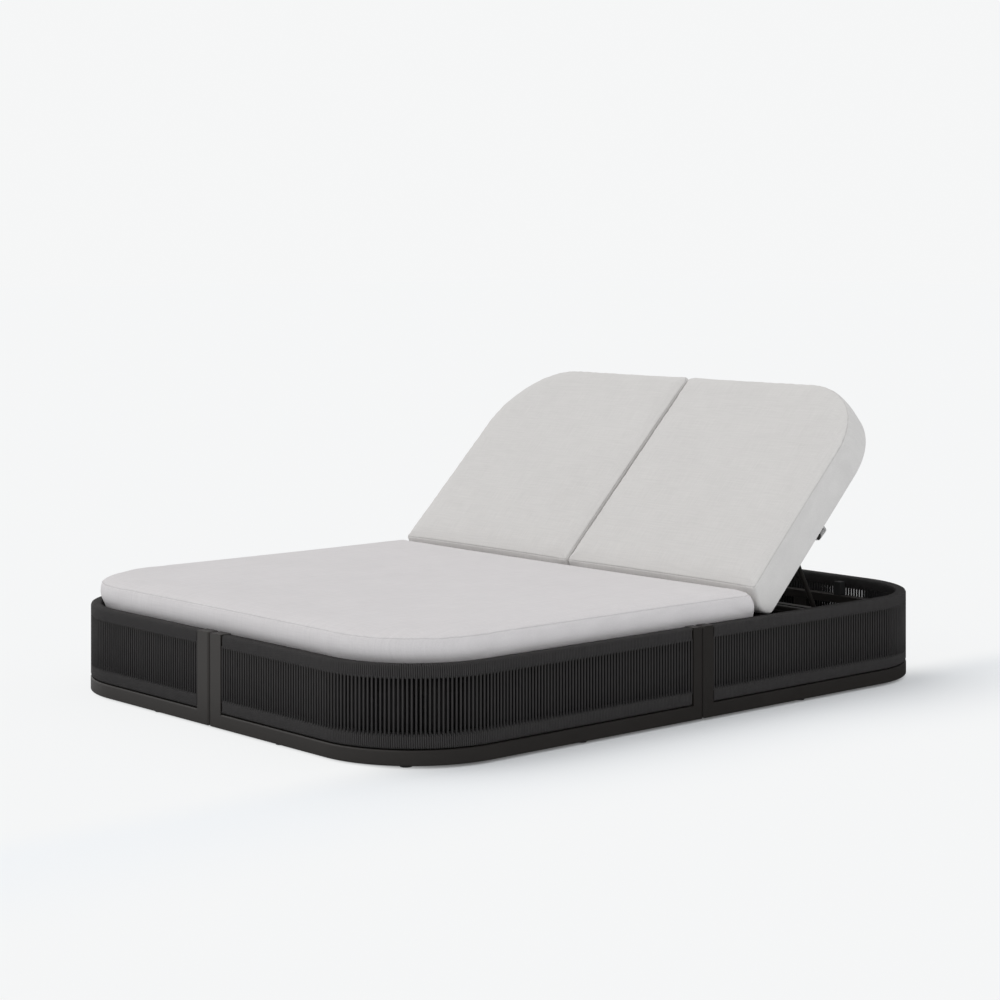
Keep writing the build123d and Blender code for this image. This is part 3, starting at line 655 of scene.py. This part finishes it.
# The seat's levels as shares of its thickness: height, set-in at the sides and foot, and at the
# rear. Its seam is sewn at one of them, counted from the base.
seat_level_shares = (
    (0.0, 0.12, 0.16),
    (0.03, 0.06, 0.08),
    (0.1, 0.025, 0.035),
    (0.2, -0.01, 0.01),
    (0.3, -0.05, 0.0),
    (0.37, -0.095, -0.005),
    (0.45, -0.132, -0.005),
    (0.55, -0.157, 0.01),
    (0.65, -0.16, 0.045),
    (0.75, -0.142, 0.11),
    (0.81, -0.122, 0.162),
    (0.838, -0.112, 0.194),
    (0.85, -0.106, 0.208),
    (0.862, -0.098, 0.222),
    (0.89, -0.066, 0.255),
    (0.925, 0.01, 0.333),
)
seat_levels = [
    tuple(share * seat_thickness for share in (height, side_in, side_in, rear_in))
    for height, side_in, rear_in in seat_level_shares
]
seat_seams = (12,)
# The cover's outline is set in from the cushion's box by as much as its sides bulge
seat_box = (
    seat_low[0] + seat_bulge,
    seat_high[0] - seat_bulge,
    seat_low[1] + seat_bulge,
    seat_high[1],
)
seat_columns = int((seat_high[0] - seat_low[0]) / cover_step)
seat_rows = int((seat_high[1] - seat_low[1]) / cover_step)
seat, seat_around = cushion_cover(
    "seat_cushion_cover",
    seat_box,
    (seat_corner, seat_corner, seat_rear_corner, seat_rear_corner),
    corner_steps=(8, 8, 3, 3),
    side_steps=(seat_columns, seat_rows),
    draw_in=seat_draw_in,
    levels=seat_levels,
    crown=seat_crown,
)


def hold_shares(piece, around, seams, level_count):
    """Say how firmly each point is held: all of the base, more than half of the seams, some of
    the sides and least of the top."""
    held = np.full(len(piece.data.vertices), top_hold)
    for level in range(level_count):
        share = base_hold if level < base_levels else side_hold
        held[level * around : (level + 1) * around] = seam_hold if level in seams else share
    inner = around * level_count
    base_points = (len(held) - inner) // 2
    held[inner : inner + base_points] = base_hold
    return held


def sew_cover(piece, around, seams, seed):
    """Pinch the seams, smooth the cover, gather it a little along its seams and mark painted shade
    along them.
    """
    places = places_of(piece)
    normals = np.array([vertex.normal[:] for vertex in piece.data.vertices])
    seam_points = []
    for level in seams:
        on_seam = slice(level * around, (level + 1) * around)
        places[on_seam] -= seam_pinch * normals[on_seam]
        loop = places[on_seam]
        for share in (0, 0.25, 0.5, 0.75):
            seam_points.append(loop + share * (np.roll(loop, -1, axis=0) - loop))
    set_places(piece, places)
    smooth = piece.modifiers.new("smooth", "SUBSURF")
    smooth.levels = 1
    smooth.render_levels = 1
    evaluated = piece.evaluated_get(bpy.context.evaluated_depsgraph_get())
    piece.data = bpy.data.meshes.new_from_object(evaluated)
    piece.modifiers.clear()
    piece.data.shade_smooth()
    seam_points = np.concatenate(seam_points)
    random = np.random.default_rng(seed)
    waves = [(length, random.uniform(0, 2 * pi)) for length in gather_lengths]
    places = places_of(piece)
    normals = np.array([vertex.normal[:] for vertex in piece.data.vertices])
    shade = np.zeros(len(places))
    for number, place in enumerate(places):
        apart = np.linalg.norm(seam_points - place, axis=1)
        nearest = seam_points[int(np.argmin(apart))]
        along = nearest[0] * gather_slant[0] + nearest[1] * gather_slant[1]
        gather = sum(sin(2 * pi * along / length + start) for length, start in waves)
        depth = gather_depth * exp(-apart.min() / gather_reach)
        places[number] = place + normals[number] * depth * gather
        # Painted shade, strongest on the seam.
        shade[number] = exp(-((apart.min() / seam_shade_reach) ** 2))
    set_places(piece, places)
    seam_shade_attribute = piece.data.attributes.new("seam_shade_attribute", "FLOAT", "POINT")
    seam_shade_attribute.data.foreach_set("value", shade)


def woven_cloth(name, colour, lean):
    """Pale outdoor canvas: a plain weave, uneven threads, a faint mottle and painted shade along
    the seams.
    The weave is turned with the cushion by its lean."""
    material, tree, shader, places = start_finish(name)
    turned = add_node(
        tree,
        "ShaderNodeMapping",
        {"Vector": places.outputs["Object"], "Rotation": (-lean, 0, 0)},
    )
    facing = add_node(
        tree,
        "ShaderNodeMapping",
        {"Vector": places.outputs["Normal"], "Rotation": (-lean, 0, 0)},
    )
    across = add_node(tree, "ShaderNodeSeparateXYZ", {0: turned.outputs[0]})
    normal = add_node(tree, "ShaderNodeSeparateXYZ", {0: facing.outputs[0]})
    waves = []
    for axis in range(3):
        turn = add_math(tree, "MULTIPLY", across.outputs[axis], 2 * pi / thread_pair)
        waves.append(add_math(tree, "SINE", turn))
    weave = None
    for first, second, third in ((0, 1, 2), (1, 2, 0), (2, 0, 1)):
        crossing = add_math(tree, "MULTIPLY", waves[first], waves[second])
        share = add_math(tree, "POWER", add_math(tree, "ABSOLUTE", normal.outputs[third]), 4)
        part = add_math(tree, "MULTIPLY", crossing, share)
        weave = part if weave is None else add_math(tree, "ADD", weave, part)
    slubs = []
    for scale in ((slub_run, slub_width, slub_width), (slub_width, slub_run, slub_run)):
        drawn = add_node(
            tree, "ShaderNodeMapping", {"Vector": turned.outputs[0], "Scale": scale}
        )
        slub_inputs = {"Vector": drawn.outputs[0], "Scale": 1, "Detail": 3}
        slubs.append(add_node(tree, "ShaderNodeTexNoise", slub_inputs).outputs[0])
    threads = add_math(tree, "ADD", *slubs)
    mottle = add_node(
        tree, "ShaderNodeTexNoise", {"Vector": turned.outputs[0], "Scale": 7, "Detail": 6}
    )
    thread_share = spread(tree, threads, (0.6, 1.4), (0, 1))
    pale = tuple(min(1, 1.045 * part) for part in colour)
    deep = tuple(0.93 * part for part in colour)
    thread_colour = blend_colours(tree, thread_share, deep, pale)
    cloudy = spread(tree, mottle.outputs[0], (0.3, 0.7), (0.98, 1.01))
    mixed = blend_colours(tree, 1, thread_colour, cloudy, how="MULTIPLY")
    # Painted shade along the seams.
    seam_shade_attribute = add_node(tree, "ShaderNodeAttribute", {}, attribute_name="seam_shade_attribute")
    seam_shade_amount = add_math(tree, "MULTIPLY", seam_shade_attribute.outputs["Fac"], seam_shade_share)
    shaded = tuple(seam_shade_tone * part for part in colour)
    seam_shaded_colour = blend_colours(tree, seam_shade_amount, mixed, shaded)
    tree.links.new(seam_shaded_colour, shader.inputs["Base Color"])
    raised = add_math(tree, "ADD", add_math(tree, "MULTIPLY", weave, 0.5), threads)
    add_bump(tree, shader, raised, 0.35, thread_depth)
    shader.inputs["Roughness"].default_value = 0.92
    shader.inputs["Specular IOR Level"].default_value = 0.2
    shader.inputs["Sheen Weight"].default_value = 0.12
    shader.inputs["Sheen Roughness"].default_value = 0.5
    return material


seat_held = hold_shares(seat, seat_around, seat_seams, len(seat_levels))
fill_cover(seat, seat_held, cover_pressure, seat_swell)
sew_cover(seat, seat_around, seat_seams, seed=11)
seat_places = places_of(seat)
seat_places[:, 2] += seat_low[2]
set_places(seat, seat_places)
seat.data.materials.append(woven_cloth("seat_canvas", seat_colour, 0))
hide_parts("seat_cushion")
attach(seat, "base")


# Back cushions
# Two foam cushions in the same cloth, each on its own back frame. Their upper outer corners are
# round, and the boxing slants in towards the seam at the lower end.
back_lean = radians(45)
hinge_y = 297.8 * millimetre
hinge_z = 200 * millimetre
back_inner = 2 * millimetre
back_outer = 762 * millimetre
back_foot = 26.4 * millimetre
back_head = 814 * millimetre
back_rest = 25.4 * millimetre
back_thickness = 114 * millimetre
back_corner = 255 * millimetre
back_foot_corner = 10 * millimetre
back_inner_corner = 20 * millimetre
back_draw_in = 0.6 * millimetre
back_crown = 0.055 * back_thickness
back_swell = 3 * millimetre
back_colour = (0.655, 0.638, 0.622)
# The back's levels as shares of its thickness: height, set-in at the sides, at the foot and at the
# head. Its seam is sewn at one of them.
back_level_shares = (
    (0.0, 0.012, 0.2, 0.03),
    (0.012, 0.003, 0.17, 0.015),
    (0.035, -0.002, 0.14, 0.01),
    (0.08, -0.002, 0.105, 0.008),
    (0.16, 0.0, 0.055, 0.006),
    (0.28, -0.001, 0.015, -0.002),
    (0.42, -0.002, 0.0, -0.004),
    (0.56, -0.002, 0.08, -0.003),
    (0.70, -0.001, 0.15, 0.008),
    (0.80, 0.0, 0.192, 0.024),
    (0.88, 0.004, 0.225, 0.045),
    (0.905, 0.009, 0.238, 0.055),
    (0.915, 0.012, 0.245, 0.06),
    (0.925, 0.018, 0.254, 0.068),
    (0.94, 0.034, 0.272, 0.086),
    (0.955, 0.075, 0.32, 0.14),
)
back_levels = [tuple(share * back_thickness for share in row) for row in back_level_shares]
back_seams = (12,)
back_columns = int((back_outer - back_inner) / cover_step)
back_rows = int((back_head - back_foot) / cover_step)


def lean_back(places):
    """Turn places over the back, across, up and out of it, into places on the lounger."""
    x, up, out = places.T
    y = hinge_y + up * cos(back_lean) - out * sin(back_lean)
    z = hinge_z + up * sin(back_lean) + out * cos(back_lean)
    return np.column_stack([x, y, z])


back_cloth = woven_cloth("back_canvas", back_colour, back_lean)
for number, (side_name, side) in enumerate((("right", 1), ("left", -1))):
    cover, around = cushion_cover(
        f"back_cushion_cover_{side_name}",
        (back_inner, back_outer, back_foot, back_head),
        (back_foot_corner, back_foot_corner, back_corner, back_inner_corner),
        corner_steps=(2, 2, 12, 2),
        side_steps=(back_columns, back_rows),
        draw_in=back_draw_in,
        levels=back_levels,
        crown=back_crown,
    )
    held = hold_shares(cover, around, back_seams, len(back_levels))
    fill_cover(cover, held, cover_pressure, back_swell)
    sew_cover(cover, around, back_seams, seed=21 + number)
    places = places_of(cover)
    places[:, 2] += back_rest
    places = lean_back(places)
    places[:, 0] *= side
    set_places(cover, places)
    if side < 0:
        cover.data.flip_normals()
    cover.data.materials.append(back_cloth)
    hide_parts(f"back_cushion_{side_name}")
    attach(cover, f"back_cushion_body_{side_name}")


# Cushion straps
# A flat ribbon of paler cloth, sewn to the back of each cushion with a tab at each end. It hangs
# slack round the end of the crossbar, whose dark end shows below it.
strap_width = 24 * millimetre
strap_thickness = 1.5 * millimetre
strap_tab = 12 * millimetre
strap_start = 723 * millimetre
bar_up = 340 * millimetre
bar_out = 10 * millimetre
loop_radius = 10.3 * millimetre + strap_thickness / 2
bend_up = 371 * millimetre
bend_out = 1.5 * millimetre
bend_radius = 6.5 * millimetre - strap_thickness / 2
tab_out = 25 * millimetre - strap_thickness / 2
tab_turn = 1.2 * millimetre
strap_colour = (0.86, 0.85, 0.84)


def strap_line():
    """Give the points of the strap in its own section: up the back and out of it. Its two ends
    lie flat on the cushion as tabs and turn off it in a small bend."""
    high = bend_up + bend_radius
    low = bar_up - loop_radius
    tab = ((1, 0), (0.35, 0), (0.02, tab_turn))
    points = [(high + share * strap_tab, tab_out - turn) for share, turn in tab]
    points.append((high, (tab_out + bend_out) / 2))
    for step in range(5):
        angle = -step * pi / 8
        points.append((bend_up + bend_radius * cos(angle), bend_out + bend_radius * sin(angle)))
    for step in range(7):
        angle = -pi / 2 - step * pi / 12
        points.append((bar_up + loop_radius * cos(angle), bar_out + loop_radius * sin(angle)))
    points += [(low - share * strap_tab, tab_out - turn) for share, turn in tab[::-1]]
    return np.array(points)


def strap_piece(name, side):
    """Make the ribbon: a strip along the strap's line, given its thickness and soft edges."""
    line = strap_line()
    ahead = np.gradient(line, axis=0)
    ahead /= np.linalg.norm(ahead, axis=1)[:, None]
    outward = np.column_stack([ahead[:, 1], -ahead[:, 0]])
    edge = strap_thickness / 2
    shares = (0, 0.06, 0.14, 0.5, 0.86, 0.94, 1)
    swell = (0.55, 1, 0.86, 1, 0.86, 1, 0.55)
    vertices = []
    for face_side in (1, -1):
        for place, direction in zip(line, outward):
            for share, thick in zip(shares, swell):
                up, out = place + face_side * edge * thick * direction
                vertices.append((strap_start + share * strap_width, up, out))
    count = len(shares)
    layer = len(line) * count
    faces = []
    for row in range(len(line) - 1):
        for column in range(count - 1):
            low = row * count + column
            faces.append((low, low + 1, low + count + 1, low + count))
            under = low + layer
            faces.append((under, under + count, under + count + 1, under + 1))
        for column in (0, count - 1):
            low = row * count + column
            rim = (low, low + count, low + count + layer, low + layer)
            faces.append(rim if column == 0 else rim[::-1])
    for row in (0, len(line) - 1):
        for column in range(count - 1):
            low = row * count + column
            rim = (low, low + layer, low + 1 + layer, low + 1)
            faces.append(rim if row == 0 else rim[::-1])
    places = lean_back(np.array(vertices))
    places[:, 0] *= side
    mesh = bpy.data.meshes.new(name)
    mesh.from_pydata(places.tolist(), [], faces)
    mesh.shade_smooth()
    if side > 0:
        mesh.flip_normals()
    piece = bpy.data.objects.new(name, mesh)
    scene.collection.objects.link(piece)
    smooth = piece.modifiers.new("smooth", "SUBSURF")
    smooth.levels = 2
    smooth.render_levels = 2
    return piece


strap_cloth = woven_cloth("strap_canvas", strap_colour, back_lean)
for side_name, side in (("right", 1), ("left", -1)):
    strap = strap_piece(f"strap_{side_name}", side)
    strap.data.materials.append(strap_cloth)
    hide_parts(f"cushion_strap_{side_name}")
    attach(strap, f"back_{side_name}")


# Studio
# A pale paper floor that runs on to the horizon, with painted dark shade under the lounger, one
# wide soft lamp high on the left and a sky that is brighter on the right. Sheens show dark screens.
floor_reach = 60
floor_colour = (0.915, 0.93, 0.945)
under_shade_colour = (0.1, 0.1, 0.1)
paper = (0.918, 0.924, 0.926, 1)
under_shade_edge = (-0.05, -0.01)
shadow_rise = (0.6, 0.82)
shadow_fall = (0.8, 1.4)
shadow_share = 0.8
paper_share = 0.9
toward_right = (0.66, 0.75)
floor_dimming = ((-1.2, 0.6), (1, 0.12))
base_dimming = ((0, 0.3), (0.3, 0.95))
sky_colour = (0.97, 0.985, 1, 1)
sky_brightening = ((-1, 1), (0.56, 1))
screen_dimming = ((-0.5, 0.6), (1, 0.1))

floor_mesh = bpy.data.meshes.new("studio_floor")
floor_corners = [
    (x * floor_reach, y * floor_reach, 0) for x, y in ((-1, -1), (1, -1), (1, 1), (-1, 1))
]
floor_mesh.from_pydata(floor_corners, [], [(0, 1, 2, 3)])
floor = bpy.data.objects.new("studio_floor", floor_mesh)
scene.collection.objects.link(floor)


def lean_right(tree, parts):
    """Give how far a place or a direction lies to the right of the view."""
    across = add_math(tree, "MULTIPLY", parts.outputs[0], toward_right[0])
    along = add_math(tree, "MULTIPLY", parts.outputs[1], toward_right[1])
    return add_math(tree, "ADD", across, along)


def paper_floor():
    """Paper that the camera sees evenly lit, less a shadow beside the lounger and painted dark
    shade under it. Sheens see it dimmer on the right and near the base."""
    material, tree, shader, places = start_finish("studio_paper")
    shader.inputs["Roughness"].default_value = 1
    shader.inputs["Specular IOR Level"].default_value = 0
    rays = add_node(tree, "ShaderNodeLightPath", {})
    parts = add_node(tree, "ShaderNodeSeparateXYZ", {0: places.outputs["Object"]})
    beyond = []
    for axis, half in ((0, half_width), (1, half_length)):
        from_middle = add_math(tree, "ABSOLUTE", parts.outputs[axis])
        past = add_math(tree, "SUBTRACT", from_middle, half - corner_radius)
        beyond.append(add_math(tree, "POWER", add_math(tree, "MAXIMUM", past), 2))
    from_corner = add_math(tree, "SQRT", add_math(tree, "ADD", *beyond))
    from_base = add_math(tree, "SUBTRACT", from_corner, corner_radius)
    # Painted shade: the paper under the lounger turns dark.
    under = spread(tree, from_base, under_shade_edge, (1, 0))
    colour = blend_colours(tree, under, floor_colour, under_shade_colour)
    tree.links.new(colour, shader.inputs["Base Color"])
    soft = {"interpolation_type": "SMOOTHSTEP"}
    beside = spread(tree, parts.outputs[0], shadow_rise, (0, 1), **soft)
    near = spread(tree, parts.outputs[0], shadow_fall, (shadow_share, 0), **soft)
    clear = add_math(tree, "SUBTRACT", paper_share, add_math(tree, "MULTIPLY", beside, near))
    clear = add_math(tree, "MULTIPLY", clear, add_math(tree, "SUBTRACT", 1, under))
    lit = add_math(tree, "MULTIPLY", rays.outputs["Is Camera Ray"], clear)
    glow = add_node(tree, "ShaderNodeEmission", {"Color": paper})
    seen_inputs = {0: lit, 1: shader.outputs[0], 2: glow.outputs[0]}
    seen = add_node(tree, "ShaderNodeMixShader", seen_inputs)
    dim_right = spread(tree, lean_right(tree, parts), *floor_dimming)
    dim_near = spread(tree, from_base, *base_dimming)
    dim = add_math(tree, "MULTIPLY", dim_right, dim_near)
    mirrored = add_node(tree, "ShaderNodeEmission", {"Color": paper, "Strength": dim})
    mixed_inputs = {0: rays.outputs["Is Glossy Ray"], 1: seen.outputs[0], 2: mirrored.outputs[0]}
    mixed = add_node(tree, "ShaderNodeMixShader", mixed_inputs)
    tree.links.new(mixed.outputs[0], tree.nodes["Material Output"].inputs["Surface"])
    return material


floor.data.materials.append(paper_floor())

sun_data = bpy.data.lights.new("wide_lamp", "SUN")
sun_data.energy = 0.85
sun_data.angle = radians(60)
sun_data.color = (1, 0.985, 0.965)
sun = bpy.data.objects.new("wide_lamp", sun_data)
sun.rotation_euler = (radians(38), 0, radians(-58))
scene.collection.objects.link(sun)

world = bpy.data.worlds.new("studio_sky")
scene.world = world
world.use_nodes = True
sky = world.node_tree
sky.nodes.clear()
sky_places = add_node(sky, "ShaderNodeTexCoord", {})
sky_parts = add_node(sky, "ShaderNodeSeparateXYZ", {0: sky_places.outputs["Generated"]})
sky_strength = spread(sky, sky_parts.outputs[0], *sky_brightening)
screen_strength = spread(sky, lean_right(sky, sky_parts), *screen_dimming)
lights = []
for light_colour, strength in ((sky_colour, sky_strength), (paper, screen_strength), (paper, 1)):
    light_inputs = {"Color": light_colour, "Strength": strength}
    lights.append(add_node(sky, "ShaderNodeBackground", light_inputs).outputs[0])
rays = add_node(sky, "ShaderNodeLightPath", {})
chosen = lights[0]
for ray, light in (("Is Glossy Ray", lights[1]), ("Is Camera Ray", lights[2])):
    chosen_inputs = {0: rays.outputs[ray], 1: chosen, 2: light}
    chosen = add_node(sky, "ShaderNodeMixShader", chosen_inputs).outputs[0]
add_node(sky, "ShaderNodeOutputWorld", {"Surface": chosen})
scene.view_settings.view_transform = "Standard"
